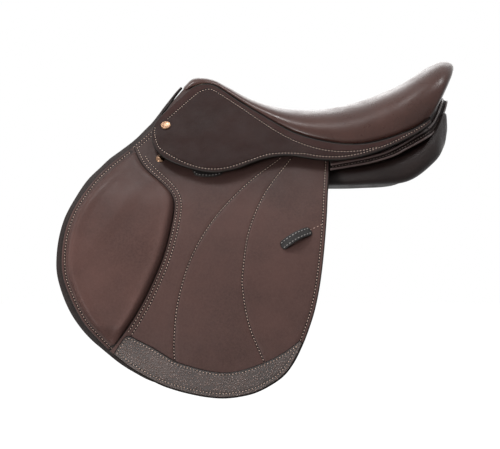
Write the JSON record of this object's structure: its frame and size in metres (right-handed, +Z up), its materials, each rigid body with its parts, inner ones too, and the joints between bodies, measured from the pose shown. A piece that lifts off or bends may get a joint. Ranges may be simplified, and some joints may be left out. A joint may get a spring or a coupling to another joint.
{
  "type": "jumping saddle",
  "caption": "Close-contact jumping saddle with lifting flaps and skirts, padded seat and panels, stirrup bars with hinged catches, and swinging girth straps.",
  "frame": {"origin": "on the centre line, under the deepest point of the seat, level with the lowest point of the panels between the flaps", "axes": "+X to the rear (cantle), -Y the near or left side, +Z up"},
  "size_m": [0.585, 0.4624, 0.4915],
  "materials": {
    "flap_leather": "smooth chocolate calf, satin",
    "skirt_leather": "smooth dark brown calf, satin",
    "seat_leather": "soft red-brown calf, light sheen",
    "panel_leather": "soft near-black brown calf",
    "sweat_leather": "flat brown bridle leather",
    "grained_leather": "coarse pebbled grain",
    "keeper_leather": "near-black strap leather",
    "strap_leather": "brown bridle leather",
    "copper": "polished rose gold",
    "steel": "forged, satin",
    "tree_wood": "laminated beech, sealed",
    "webbing": "woven jute web",
    "foam": "moulded latex foam"
  },
  "bodies": {
    "saddle": {"tree": "tree_wood", "cantle_board": "tree_wood", "head_plate": "steel", "spring_left": "steel", "spring_right": "steel", "seat_web": "webbing", "seat_foam": "foam", "seat_cover": "seat_leather", "seat_welt_left": "panel_leather", "seat_welt_right": "panel_leather", "skirt_left": "skirt_leather", "skirt_right": "skirt_leather", "skirt_nails": "copper", "stirrup_bar_left": "steel", "stirrup_bar_right": "steel", "catch_pin_left": "steel", "catch_pin_right": "steel", "bar_rivets": "steel", "flap_head_left": "flap_leather", "flap_head_right": "flap_leather", "bar_guard_left": "keeper_leather", "bar_guard_right": "keeper_leather", "flap_stud_left": "copper", "flap_stud_right": "copper", "sweat_flap_left": "sweat_leather", "sweat_flap_right": "sweat_leather", "point_pocket_left": "panel_leather", "point_pocket_right": "panel_leather", "girth_web_left": "webbing", "girth_web_right": "webbing", "buckle_guard_left": "strap_leather", "buckle_guard_right": "strap_leather", "panel_left": "panel_leather", "panel_right": "panel_leather", "panel_band_left": "panel_leather", "panel_band_right": "panel_leather", "cantle_facing": "seat_leather", "pommel_roll": "panel_leather"},
    "flap_left": {"flap_left": "flap_leather", "knee_pad_left": "flap_leather", "wear_strip_left": "grained_leather", "leather_keeper_left": "keeper_leather"},
    "skirt_lobe_left": {"skirt_lobe_left": "skirt_leather"},
    "bar_catch_left": {"bar_catch_left": "steel"},
    "girth_strap_front_left": {"girth_strap_front_left": "strap_leather"},
    "girth_strap_rear_left": {"girth_strap_rear_left": "strap_leather"},
    "flap_right": {"flap_right": "flap_leather", "knee_pad_right": "flap_leather", "wear_strip_right": "grained_leather", "leather_keeper_right": "keeper_leather"},
    "skirt_lobe_right": {"skirt_lobe_right": "skirt_leather"},
    "bar_catch_right": {"bar_catch_right": "steel"},
    "girth_strap_front_right": {"girth_strap_front_right": "strap_leather"},
    "girth_strap_rear_right": {"girth_strap_rear_right": "strap_leather"}
  },
  "joints": [
    {"name": "flap_lift_left", "type": "hinge", "parent": "saddle", "child": "flap_left", "pos_m": [-0.11305, -0.13606, 0.01098], "axis": [-0.9561, 0.2041, 0.2104], "range_deg": [0, 75]},
    {"name": "skirt_lift_left", "type": "hinge", "parent": "saddle", "child": "skirt_lobe_left", "pos_m": [-0.09331, -0.12402, 0.05657], "axis": [-0.9591, 0.2113, 0.1883], "range_deg": [0, 65]},
    {"name": "catch_flip_left", "type": "hinge", "parent": "saddle", "child": "bar_catch_left", "pos_m": [-0.11497, -0.08313, 0.09082], "axis": [-0.0596, -0.7574, 0.6502], "range_deg": [0, 90]},
    {"name": "strap_swing_front_left", "type": "hinge", "parent": "saddle", "child": "girth_strap_front_left", "pos_m": [-0.11791, -0.10081, 0.047], "axis": [-0.0633, -0.8047, 0.5902], "range_deg": [-5, 2]},
    {"name": "strap_swing_rear_left", "type": "hinge", "parent": "saddle", "child": "girth_strap_rear_left", "pos_m": [-0.06202, -0.10521, 0.047], "axis": [-0.0633, -0.8047, 0.5902], "range_deg": [-2, 5]},
    {"name": "flap_lift_right", "type": "hinge", "parent": "saddle", "child": "flap_right", "pos_m": [-0.11305, 0.13606, 0.01098], "axis": [0.9561, 0.2041, -0.2104], "range_deg": [0, 75]},
    {"name": "skirt_lift_right", "type": "hinge", "parent": "saddle", "child": "skirt_lobe_right", "pos_m": [-0.09331, 0.12402, 0.05657], "axis": [0.9591, 0.2113, -0.1883], "range_deg": [0, 65]},
    {"name": "catch_flip_right", "type": "hinge", "parent": "saddle", "child": "bar_catch_right", "pos_m": [-0.11497, 0.08313, 0.09082], "axis": [0.0596, -0.7574, -0.6502], "range_deg": [0, 90]},
    {"name": "strap_swing_front_right", "type": "hinge", "parent": "saddle", "child": "girth_strap_front_right", "pos_m": [-0.11791, 0.10081, 0.047], "axis": [0.0633, -0.8047, -0.5902], "range_deg": [-5, 2]},
    {"name": "strap_swing_rear_right", "type": "hinge", "parent": "saddle", "child": "girth_strap_rear_right", "pos_m": [-0.06202, 0.10521, 0.047], "axis": [0.0633, -0.8047, -0.5902], "range_deg": [-2, 5]}
  ]
}
